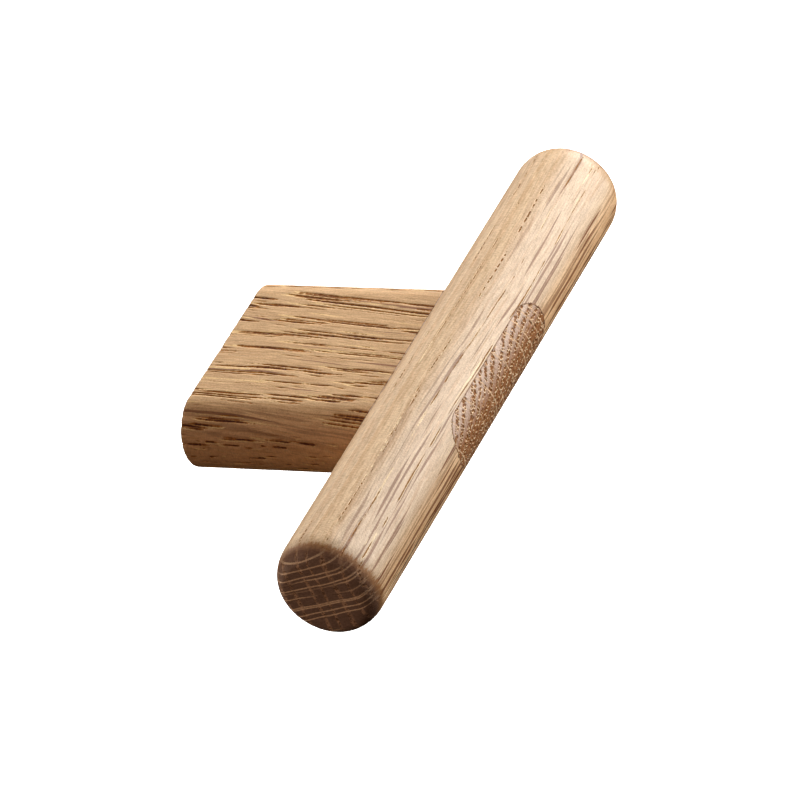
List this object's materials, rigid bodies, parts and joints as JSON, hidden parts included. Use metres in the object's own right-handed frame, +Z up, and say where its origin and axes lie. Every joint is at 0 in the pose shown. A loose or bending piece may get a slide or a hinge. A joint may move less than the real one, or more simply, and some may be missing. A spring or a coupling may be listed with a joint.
{
  "type": "t-bar handle",
  "caption": "T-shaped oak drawer or cupboard handle: a round crossbar on one flat stem whose through tenon shows in the bar's face.",
  "frame": {"origin": "centre of the stem's back face, which lies on the door's front, midway between the two fixing screws", "axes": "+X along the crossbar, +Y out of the back face into the door, +Z up, square to the stem's wide faces"},
  "size_m": [0.098, 0.044, 0.016],
  "materials": {
    "bar_oak": "satin oiled oak, long grain along the bar",
    "stem_oak": "satin oiled oak, coarse open grain along the stem",
    "insert_brass": "turned"
  },
  "bodies": {
    "root": {"crossbar": "bar_oak", "stem": "stem_oak", "threaded_insert_left": "insert_brass", "threaded_insert_right": "insert_brass"}
  },
  "joints": []
}
